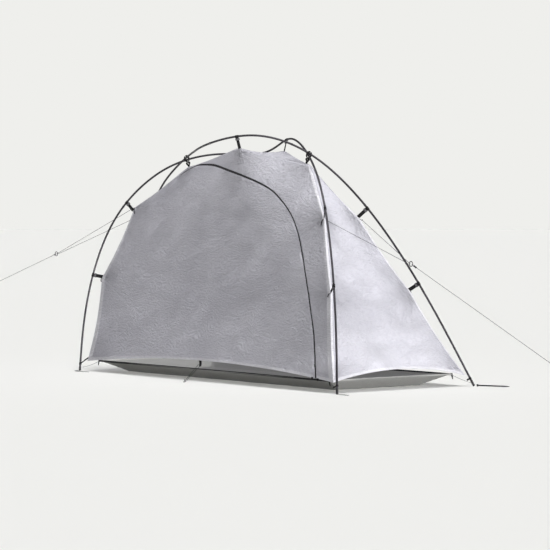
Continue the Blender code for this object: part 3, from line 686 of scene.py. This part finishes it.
def make_clip(name, middle, across, down, along, width):
    """A moulded keeper: a rounded frame round both legs of the strap, just clear of the pole."""
    bm = bmesh.new()
    for start, size in (((0.0035, 0, 0), (0.0022, 0.011, 1.22)), ((-0.0035, 0, 0), (0.0022, 0.011, 1.22)),
                        ((0, 0, 0.56), (0.0092, 0.011, 0.10)), ((0, 0, -0.56), (0.0092, 0.011, 0.10))):
        verts = bmesh.ops.create_cube(bm, size=1.0)["verts"]
        bmesh.ops.scale(bm, verts=verts, vec=(size[0], size[1], size[2] * width))
        bmesh.ops.translate(bm, verts=verts, vec=(start[0], start[1], start[2] * width))
    bmesh.ops.bevel(bm, geom=bm.edges[:], offset=0.0006, segments=2, profile=0.5, affect="EDGES", material=-1)
    for vert in bm.verts:
        vert.co = middle + across * vert.co.x + down * vert.co.y + along * vert.co.z
    bmesh.ops.recalc_face_normals(bm, faces=bm.faces)
    mesh = bpy.data.meshes.new(name)
    bm.to_mesh(mesh)
    bm.free()
    # Grey keeper: partly painted highlight where the black strap catches light by the pole.
    add_piece(name, mesh, "clip", "tent", (), 40)


def make_straps(ties):
    bow = POLE_RADIUS + STRAP_CLEARANCE
    for name, (route, s, target) in ties.items():
        width = TIE_WIDTH if name.startswith("corner") else STRAP_WIDTH
        make_strap(f"strap_{name}", route.at(s), route.tangent(s), target, width, bow, bow)
    for side in CROSSINGS:
        crossing = pole_point(CROSSINGS[side])
        along = Vector((1, 0, 0.5 if side == "left" else -0.5)).normalized()
        make_strap(f"strap_apex_{side}", crossing, along, apex_point(side), STRAP_WIDTH * 0.8, bow * 2.1,
                   bow + CROSSING_LIFT * 0.8, 0.55)
    for name, (route, s, target) in ties.items():
        if name.startswith("upper") or name.startswith("lower"):
            make_tab(name, target)


def make_tab(name, target):
    """A short webbing tail left hanging where a strap is sewn to the seam."""
    long = 0.034 if name.startswith("upper") else 0.018
    inward = -math.copysign(1, target.x)
    out = math.copysign(1, target.y)

    def place(a, b):
        curl = 0.006 * math.sin(a * 2.2)
        return target + Vector((inward * (0.004 + 0.3 * long * a) + (b - 0.5) * 0.008,
                                out * (0.006 + curl), -a * long))

    lay(f"tail_{name}", 10, 3, place, "webbing", "tent", None, (), 0.0012)


# ---- walls --------------------------------------------------------------------------------------
ZIP_ROUTE = Route([Vector((u * WALL_SPAN[0], v * WALL_SPAN[1], 0)) for u, v in ZIP_PATH])
ZIP_OUTLINE = [ZIP_ROUTE.at(ZIP_ROUTE.length * i / 90) for i in range(91)]
DOOR_OUTLINE = ([Vector((-0.1, -0.1)), Vector((-0.1, ZIP_PATH[0][1]))]
                + [Vector((p.x / WALL_SPAN[0], p.y / WALL_SPAN[1])) for p in ZIP_OUTLINE]
                + [Vector((ZIP_PATH[-1][0], -0.1))])


def in_door(u, v):
    """Whether a place on the front wall is on the door's side of the zip."""
    inside = False
    for a, b in zip(DOOR_OUTLINE, DOOR_OUTLINE[1:] + DOOR_OUTLINE[:1]):
        if (a.y > v) != (b.y > v) and u < (b.x - a.x) * (v - a.y) / (b.y - a.y) + a.x:
            inside = not inside
    return inside


def to_zip(u, v):
    """The nearest place on the zip's line."""
    here = Vector((u * WALL_SPAN[0], v * WALL_SPAN[1], 0))
    near = min(ZIP_OUTLINE, key=lambda p: (p - here).length)
    return Vector((near.x / WALL_SPAN[0], near.y / WALL_SPAN[1]))


def hinge_blend(obj, front):
    """Bake the door piece's placement into its mesh. The hinge line's middle and the direction away from it are
    worked out, but the cloth is not turned with the door.
    """
    foot, head = front.at(*HINGE_FOOT), front.at(*HINGE_HEAD)
    middle = mix(foot, head, 0.5)
    away = (head - foot).normalized().cross(front.outward).normalized()
    if away.x < 0:
        away = -away
    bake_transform(obj)


def make_walls(front, rear):
    counts = (270, 134)
    door = lay("door_cloth", *counts, front.cloth, "fly", None, front.outward,
               ["door_panel", "front_hinge_strip"], keep=in_door, snap=to_zip, fan=(front.ties, 0))
    hinge_blend(door, front)
    fixed = lay("front_cloth", *counts, front.cloth, "fly", "tent", front.outward, ["front_fixed_panel"],
                keep=lambda u, v: not in_door(u, v), snap=to_zip, fan=(front.ties, 0))
    back = lay("rear_cloth", *counts, rear.cloth, "fly", "tent", rear.outward, ["rear_wall"],
               fan=(rear.ties, 0))
    ends = {}
    for x_name, u, area in (("left", 0.0, 0.44), ("right", 1.0, 0.53)):
        end = EndWall(front, rear, u)
        ends[x_name] = end
        sheet = lay(f"{x_name}_end_cloth", 100, 134, end.cloth, "fly", "tent", end.outward,
                    [f"{x_name}_end_wall"], fan=(end.ties, 1))
    top = Roof(front, rear)
    sheet = lay("roof_cloth", 120, 44, top.cloth, "fly", "tent", top.outward, ["roof_panel"],
                fan=(top.ties, 1))
    return ends, top


def make_bindings(front, rear, ends, top):
    """Hems along the bottom, taped ridges up the corners and taped edges round the roof."""
    hem = HEM_WIDTH / WALL_SPAN[1]
    split = ZIP_PATH[-1][0]
    piece = lay("door_hem", 200, 3, lambda a, b: front.cloth(a * (split - 0.004), b * hem, 0.0009),
                "binding", None, front.outward, thickness=0.0012)
    hinge_blend(piece, front)
    lay("front_hem", 16, 3, lambda a, b: front.cloth(mix(split + 0.004, 1, a), b * hem, 0.0009), "binding",
        "tent", front.outward, thickness=0.0012)
    lay("rear_hem", 200, 3, lambda a, b: rear.cloth(a, b * hem, 0.0009), "binding", "tent", rear.outward,
        thickness=0.0012)
    for x_name, end in ends.items():
        lay(f"{x_name}_end_hem", 100, 3, lambda a, b, e=end: e.cloth(a, b * hem, 0.0009), "binding", "tent",
            end.outward, thickness=0.0012)
        for y_name, wall, share in (("front", front, 0.0), ("rear", rear, 1.0)):
            make_ridge(f"ridge_{y_name}_{x_name}", wall, end, x_name, share)
    for y_name, wall, share in (("front", front, 0), ("rear", rear, 1)):
        def place(a, b, w=wall, s=share):
            if b < 0.5:
                return w.cloth(a, 1 - (0.5 - b) * 0.016, 0.001)
            return top.cloth(a, abs(s - 0.05 * (b - 0.5)), 0.001)
        lay(f"roof_binding_{y_name}", 120, 4, place, "fly", "tent", Vector((0, 0, 1)), thickness=0.0009)


def make_ridge(name, wall, end, x_name, share):
    """A folded tape over one corner seam: wide on the long wall, narrow on the end wall."""
    edge = 0.0 if x_name == "left" else 1.0

    def place(a, b):
        v = a * 0.995
        if b < 0.7:
            inset = RIDGE_WIDTH / WALL_SPAN[0] * (0.7 - b) / 0.7 * min(1, 1.15 - a)
            point = wall.cloth(abs(edge - inset), v, 0.0012)
        else:
            span = max(0.05, (end.front.at(end.u, v) - end.rear.at(end.u, v)).length)
            inset = min(0.45, RIDGE_WIDTH * 0.4 / span) * (b - 0.7) / 0.3
            point = end.cloth(abs(share - inset), v, 0.0012)
        return point

    lay(name, 110, 10, place, "binding", "tent", wall.outward + end.outward, thickness=0.0009)
    line = [place(i / 90, 0.985) + end.outward * 0.0012 for i in range(91)]
    rod(f"{name}_stitching", line, [0.0009] * 91, "stitching", "tent", sides=1)


# ---- zip -------------------------------------------------------------------------------------------
def zip_place(front, a, offset, lift):
    s = a * ZIP_ROUTE.length
    centre = ZIP_ROUTE.at(s)
    along = ZIP_ROUTE.tangent(s)
    point = centre + Vector((along.y, -along.x, 0)) * offset
    u = min(max(point.x / WALL_SPAN[0], 0.0), 1.0)
    v = min(max(point.y / WALL_SPAN[1], 0.0), 1.0)
    return front.cloth(u, v, lift)


def make_zip(front):
    """Two tapes, the coil between them, a rain flap on the door's side, the slider and its pull."""
    strips = [("zip_tape_fixed", "webbing", "tent", -0.0050, 0.0, 0.0022, 0.0008),
              ("zip_tape_door", "webbing", "door", 0.0, 0.0050, 0.0022, 0.0008),
              ("zip_coil", "plastic", "tent", -0.0024, 0.0024, 0.0036, 0.0022),
              ("rain_flap", "fly", "door", 0.0050, 0.018, 0.0040, 0.0007)]
    for name, look, body, low, high, lift, thick in strips:
        def place(a, b, low=low, high=high, lift=lift):
            ripple = 0.0018 * math.sin(a * 95 + 3 * b) * b if name == "rain_flap" else 0
            return zip_place(front, a, mix(low, high, b), lift + ripple)
        piece = lay(name, 260, 3, place, look, None if body == "door" else body, front.outward,
                    thickness=thick)
        if body == "door":
            hinge_blend(piece, front)
    for i, u in enumerate((ZIP_PATH[-1][0] - 0.012, ZIP_PATH[-1][0] + 0.008)):
        foot = front.cloth(u, 0.0)

        def tab(a, b, foot=foot):
            return foot + Vector((0.017 * (b - 0.5) * (1 - 0.75 * a), -0.003 - 0.002 * a, 0.003 - 0.012 * a))

        lay(f"zip_foot_tab_{i + 1}", 4, 4, tab, "webbing", "tent", None, (), 0.0018)
    points = [zip_place(front, mix(0.01, 0.99, i / 300), 0.0018 * (-1) ** i, 0.0050) for i in range(301)]
    rod("zip_teeth", points, [0.0008] * 301, "thread", "tent", sides=1)
    low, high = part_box("zip_slider")
    centre = (low + high) / 2
    size = high - low
    bm = bmesh.new()
    bmesh.ops.create_cube(bm, size=1.0)
    bmesh.ops.scale(bm, verts=bm.verts, vec=(size.x * 0.96, size.y, size.z))
    for vert in bm.verts:
        if vert.co.z < 0:
            vert.co.x *= 0.72
    bmesh.ops.bevel(bm, geom=bm.edges[:], offset=0.0018, segments=3, profile=0.5, affect="EDGES", material=-1)
    bridge = bmesh.ops.create_cube(bm, size=1.0)["verts"]
    bmesh.ops.scale(bm, verts=bridge, vec=(0.0035, 0.0030, 0.010))
    bmesh.ops.translate(bm, verts=bridge, vec=(0, -size.y / 2 + 0.0005, 0.002))
    bmesh.ops.translate(bm, verts=bm.verts, vec=centre)
    mesh = bpy.data.meshes.new("zip_slider_body")
    bm.to_mesh(mesh)
    bm.free()
    add_piece("zip_slider_body", mesh, "plastic", "zip_slider", ["zip_slider"], 40)
    low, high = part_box("zip_pull")
    middle = (low + high) / 2
    half = (high - low) / 2
    points = []
    for i in range(24):
        angle = 2 * math.pi * i / 24
        points.append(middle + Vector((half.x * 0.8 * math.sin(angle), 0, half.z * 0.92 * math.cos(angle))))
    rod("zip_pull_loop", points, [0.0009] * 24, "cord", "zip_pull", ["zip_pull"], sides=3, cyclic=True)


# ---- floor ---------------------------------------------------------------------------------------
def make_floor():
    """The tub: a coated sheet flat on the ground, its sides drawn out to a corded edge."""
    def place(a, b):
        x, y = a * 2 - 1, b * 2 - 1
        rim = max(abs(x), abs(y))
        flat_part = 0.8
        up = max(0.0, (rim - flat_part) / (1 - flat_part))
        square = Vector((x, y)) / max(rim, 1e-6)
        inner = min(rim / flat_part, 1.0)
        wide = mix(TUB_BASE_LENGTH / 2 * inner, TUB_LENGTH / 2, up)
        deep = mix(TUB_BASE_WIDTH / 2 * inner, TUB_WIDTH / 2, up)
        ripple = 0.0012 * (noise.noise(Vector((x * 14, y * 6, 0))) + 1) * (1 - up)
        tuck = 0.010 * math.sin(math.pi * up) * (1 - abs(square.x * square.y))
        return Vector((square.x * wide, square.y * deep, up * TUB_HEIGHT - tuck * 0.4 * up + ripple + 0.0012))

    sheet = lay("tub_cloth", 110, 60, place, "tub", "tent", Vector((0, 0, 1)), ["floor_tub"],
                thickness=0.0008)
    corners = [(-1, -1), (1, -1), (1, 1), (-1, 1), (-1, -1)]
    for k, (a, b) in enumerate(zip(corners, corners[1:])):
        points = []
        for i in range(41):
            t = i / 40
            x, y = mix(a[0], b[0], t), mix(a[1], b[1], t)
            bow = 0.010 * math.sin(math.pi * t)
            points.append(Vector((x * (TUB_LENGTH / 2 - (bow if abs(a[0] - b[0]) < 1 else 0)),
                                  y * (TUB_WIDTH / 2 - (bow if abs(a[1] - b[1]) < 1 else 0)), TUB_HEIGHT)))
        # The end edges take the mid-grey floor cloth, painted shadow like the sheet; only the long edges take the
        # black cord.
        rod(f"tub_edge_{k + 1}", points, [0.0048] * 41, "tub" if a[0] == b[0] else "edge", "tent", sides=2)
    for x in (-1, 1):
        for y in (-1, 1):
            name = f"{'right' if x > 0 else 'left'}_{'rear' if y > 0 else 'front'}"
            corner = Vector((x * (TUB_LENGTH / 2 - 0.002), y * (TUB_WIDTH / 2 - 0.002), TUB_HEIGHT))

            def tab(a, b, c=corner, sx=x, sy=y):
                fall = Vector((sx * 0.010 * a, sy * 0.006, -0.030 * a))
                return c + Vector((-sx * 0.016 * (b - 0.5) * (1 - 0.6 * a), 0, 0.006)) + fall

            lay(f"tub_tab_{name}", 6, 4, tab, "webbing", "tent", None, (), 0.0016)
            foot = Vector((x * (FOOT_LENGTH / 2 - 0.012), y * (FOOT_WIDTH / 2 - 0.010), 0.018))
            start = corner + Vector((x * 0.006, y * 0.005, -0.004))
            points = [mix(start, foot, i / 14) + Vector((0, 0, -0.003 * math.sin(math.pi * i / 14)))
                      for i in range(15)]
            cord = rod(f"tub_cord_{name}", points, [0.0010] * 15, "cord", "tent", sides=2, as_mesh=False)
            path_length(points)


# ---- guy lines -------------------------------------------------------------------------------------
def path_length(points):
    return sum((b - a).length for a, b in zip(points, points[1:]))


def knot(name, middle, along, body="tent", size=0.0034):
    """An overhand knot: one turn of a trefoil of cord."""
    side = along.cross(Vector((0, 0.3, 1))).normalized()
    other = along.cross(side).normalized()
    points = []
    for i in range(60):
        t = 2 * math.pi * i / 60
        x = math.sin(t) + 2 * math.sin(2 * t)
        y = math.cos(t) - 2 * math.cos(2 * t)
        z = -math.sin(3 * t)
        points.append(middle + (side * x + other * y) * (size / 2.6) + along * (z * size * 0.55))
    return rod(name, points, [CORD_RADIUS * 0.92] * 60, "cord", body, sides=2, cyclic=True)


def make_ring(name, centre, node_name):
    points = []
    for i in range(48):
        angle = 2 * math.pi * i / 48
        points.append(centre + Vector((math.cos(angle), 0, math.sin(angle))) * RING_RADIUS)
    return rod(name, points, [RING_TUBE] * 48, "plastic", "tent", [node_name], sides=4, cyclic=True)


def guy_set(side, ring, line_end, ties):
    outward = 1 if ring.x > 0 else -1
    eye = ring + Vector((-outward * RING_RADIUS, 0, 0))
    ends = [ties[f"upper_{y_name}_{side}"][2] + Vector((outward * 0.012, 0, -0.004))
            for y_name in ("front", "rear")]
    bend = []
    for i in range(7):
        angle = -math.pi / 2 + math.pi * i / 6
        bend.append(eye + Vector((outward * math.cos(angle), math.sin(angle), 0)) * BRIDLE_BEND)
    first = [mix(ends[0], bend[0], i / 10) for i in range(10)]
    last = [mix(bend[-1], ends[1], i / 10) for i in range(1, 11)]
    points = first + bend + last
    bridle = rod(f"{side}_bridle", points, [CORD_RADIUS] * len(points), "cord", "tent",
                 [f"{side}_bridle_cord"], sides=2, as_mesh=False)
    circle = make_ring(f"{side}_ring", ring, f"{side}_guy_ring")
    along_a = (bend[0] - ends[0]).normalized()
    knots = [knot(f"{side}_bridle_knot_front", ends[0] + along_a * 0.006, along_a),
             knot(f"{side}_bridle_knot_rear", ends[1] + (bend[-1] - ends[1]).normalized() * 0.006, along_a)]
    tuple(ends[0])
    path_length(points)
    along = (line_end - ring).normalized()
    start = ring + along * (RING_RADIUS + RING_TUBE + CORD_RADIUS)
    points = [mix(start, line_end, i / 24) for i in range(25)]
    line = rod(f"{side}_line", points, [CORD_RADIUS] * 25, "cord", "tent", [f"{side}_guy_line"], sides=2,
               as_mesh=False)
    eye_points = []
    rim = ring + along * RING_RADIUS
    turn = along.cross(Vector((0, 1, 0))).normalized()
    for i in range(20):
        angle = 2 * math.pi * i / 20
        eye_points.append(rim + (along * math.cos(angle) * 1.15 + Vector((0, 1, 0)) * math.sin(angle))
                          * (RING_TUBE + CORD_RADIUS * 1.1) + turn * 0.0)
    loop = rod(f"{side}_line_eye", eye_points, [CORD_RADIUS] * 20, "cord", "tent", sides=2, cyclic=True)
    pieces = [loop, knot(f"{side}_line_knot", start + along * 0.008, along),
              knot(f"{side}_end_knot", line_end - along * 0.008, along)]
    if side == "right":
        pieces.append(make_line_lock(along))
    path_length(points)


def make_line_lock(along):
    low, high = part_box("right_line_lock")
    middle = (low + high) / 2
    shape = [(-0.011, 0.0024), (-0.0108, 0.0034), (-0.009, 0.0042), (-0.004, 0.0044), (-0.003, 0.0038),
             (-0.001, 0.0038), (0.0, 0.0044), (0.001, 0.0038), (0.003, 0.0038), (0.004, 0.0044), (0.009, 0.0042),
             (0.0108, 0.0034), (0.011, 0.0024)]
    return rod("line_lock_barrel", [middle + along * s for s, _ in shape], [r for _, r in shape], "plastic",
               "line_lock", ["right_line_lock"], sides=6)


def make_front_stakeout():
    edge = FRONT_PEG + STAKEOUT_RISE
    spread = Vector((0.012, 0, 0))
    near = FRONT_PEG + Vector((0.0, 0.004, 0.0))
    bend = [near + Vector((-0.004, 0.006, 0)), FRONT_PEG.copy(), near + Vector((0.004, 0.006, 0))]
    points = [mix(edge - spread, bend[0], i / 6) for i in range(6)] + bend
    points += [mix(bend[-1], edge + spread, i / 6) for i in range(1, 7)]
    route = Route(points)
    smooth = [route.at(route.length * i / 40) for i in range(41)]
    cord = rod("front_stakeout", smooth, [CORD_RADIUS] * 41, "edge", "tent", ["front_stakeout_cord"], sides=2,
               as_mesh=False)
    end_knot = knot("front_stakeout_knot", FRONT_PEG + Vector((0, 0.012, 0.008)),
                    Vector((0, 0.8, 0.6)), size=0.003)
    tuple(smooth[0])
    path_length(smooth)

    def tab(a, b):
        return edge + Vector(((b - 0.5) * 0.024 * (1 - 0.2 * a), 0.004 * math.sin(a * 3), 0.026 - a * 0.034))

    lay("front_stakeout_tab", 10, 4, tab, "webbing", "tent", None, (), 0.002)


def make_ground_gear():
    foot_x, foot_y = FOOT_LENGTH / 2, FOOT_WIDTH / 2
    for x_name, sign in (("right", 1), ("left", -1)):
        low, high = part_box(f"stake_rear_{x_name}")
        direction = Vector((sign, 0.42, 0)).normalized()
        head = Vector((low.x if sign > 0 else high.x, 0, 0.0062))
        head.x += sign * 0.0023
        head.y = low.y + 0.006
        shape = [(0.0, 0.0040), (0.001, 0.0056), (0.004, 0.0062), (0.007, 0.0058), (0.009, 0.0036),
                 (0.012, 0.0034), (0.02, 0.0034), (0.155, 0.0034), (0.165, 0.0030),
                 (0.178, 0.0016), (0.184, 0.0006)]
        rod(f"peg_{x_name}", [head + direction * s for s, _ in shape], [r for _, r in shape], "stake",
            f"stake_{x_name}", [f"stake_rear_{x_name}"], sides=5)
    clear = TIP_RADIUS * 1.8
    right = Vector((foot_x + clear, -foot_y, 0))
    left = Vector((-foot_x + clear * 0.6, -foot_y - clear, 0))
    tails = {"foot_tail_right": [right, right + Vector((0.03, -0.004, 0)), right + Vector((0.07, 0.006, 0))],
             "foot_tail_left": [left, left + Vector((0.02, -0.035, 0)), left + Vector((0.07, -0.045, 0)),
                                left + Vector((0.13, -0.022, 0))]}
    for name, points in tails.items():
        route = Route(points)

        def place(a, b, r=route):
            s = a * r.length
            along = r.tangent(s)
            side = Vector((-along.y, along.x, 0)).normalized() * 0.012 * (b - 0.5)
            lift = 0.0016 + 0.0015 * math.sin(a * math.pi)
            return r.at(s) + side + Vector((0, 0, lift))

        lay(f"{name}_webbing", 40, 4, place, "webbing", "tent", Vector((0, 0, 1)), [name], 0.0014)


# ---- stage -----------------------------------------------------------------------------------------
def make_stage():
    bm = bmesh.new()
    bmesh.ops.create_grid(bm, x_segments=1, y_segments=1, size=60)
    mesh = bpy.data.meshes.new("ground")
    bm.to_mesh(mesh)
    bm.free()
    ground = bpy.data.objects.new("ground", mesh)
    bpy.context.scene.collection.objects.link(ground)
    material, _, shader, _ = new_material("paper_floor")
    shader.inputs["Base Color"].default_value = linear(FLOOR)
    shader.inputs["Roughness"].default_value = 1.0
    shader.inputs["Specular IOR Level"].default_value = 0.0
    mesh.materials.append(material)
    bm = bmesh.new()
    bmesh.ops.create_uvsphere(bm, u_segments=64, v_segments=32, radius=58)
    bmesh.ops.reverse_faces(bm, faces=bm.faces)
    mesh = bpy.data.meshes.new("backdrop")
    bm.to_mesh(mesh)
    bm.free()
    mesh.shade_smooth()
    backdrop = bpy.data.objects.new("backdrop", mesh)
    bpy.context.scene.collection.objects.link(backdrop)
    paper = bpy.data.materials.new("paper_backdrop")
    paper.use_nodes = True
    paper.node_tree.nodes.clear()
    glow = node(paper.node_tree, "ShaderNodeEmission", {"Color": linear(BACKGROUND), "Strength": 1.0})
    node(paper.node_tree, "ShaderNodeOutputMaterial", {"Surface": glow.outputs[0]})
    mesh.materials.append(paper)
    for setting in ("visible_diffuse", "visible_glossy", "visible_transmission", "visible_shadow"):
        setattr(backdrop, setting, False)
    make_sky()
    sun("overhead", OVERHEAD_STRENGTH, Vector((0.10, 0.0, 0.99)), 50, True)
    sun("side", SIDE_STRENGTH, Vector((0.98, 0.05, 0.15)), 20, False)
    box = bpy.data.lights.new("softbox", "AREA")
    box.shape = "RECTANGLE"
    box.size, box.size_y = SOFTBOX_SIZE
    box.energy = SOFTBOX_POWER
    box.use_shadow = False
    place_lamp("softbox", box, Vector((-0.1, -0.85, 1.95)), Vector((0, -0.65, 1.0)))
    unlit = bpy.data.collections.new("unlit")
    unlit.objects.link(ground)
    unlit.collection_objects[0].light_linking.link_state = "EXCLUDE"
    bpy.data.objects["softbox"].light_linking.receiver_collection = unlit


def make_sky():
    """A dim studio, a little lighter above than below."""
    world = bpy.data.worlds.new("studio")
    world.use_nodes = True
    tree = world.node_tree
    coords = node(tree, "ShaderNodeTexCoord")
    parts = node(tree, "ShaderNodeSeparateXYZ", {"Vector": coords.outputs["Generated"]})
    level = node(tree, "ShaderNodeMapRange", {"Value": parts.outputs["Z"], "From Min": -0.4, "From Max": 0.9,
                                              "To Min": SKY_LOW, "To Max": SKY_HIGH})
    background = tree.nodes["Background"]
    background.inputs["Color"].default_value = (0.96, 0.96, 1.0, 1)
    tree.links.new(level.outputs["Result"], background.inputs["Strength"])
    bpy.context.scene.world = world


def place_lamp(name, lamp, place, direction):
    obj = bpy.data.objects.new(name, lamp)
    obj.location = place
    obj.rotation_euler = direction.to_track_quat("Z", "Y").to_euler()
    bpy.context.scene.collection.objects.link(obj)


def sun(name, strength, direction, spread, shadow):
    lamp = bpy.data.lights.new(name, "SUN")
    lamp.energy = strength
    lamp.angle = math.radians(spread)
    lamp.use_shadow = shadow
    place_lamp(name, lamp, Vector(), direction)


def main():
    set_camera()
    make_looks()
    routes = {"a": pole_route(1, CROSSING_LIFT / 2), "b": pole_route(-1, -CROSSING_LIFT / 2)}
    ties = tie_points(routes)
    guy_set("right", RIGHT_RING, RIGHT_LINE_END, ties)
    guy_set("left", LEFT_RING, LEFT_LINE_END, ties)
    make_front_stakeout()
    make_poles(routes)
    make_straps(ties)
    front, rear = Wall(ties, "front"), Wall(ties, "rear")
    ends, top = make_walls(front, rear)
    make_bindings(front, rear, ends, top)
    make_zip(front)
    make_floor()
    make_ground_gear()
    make_stage()


main()
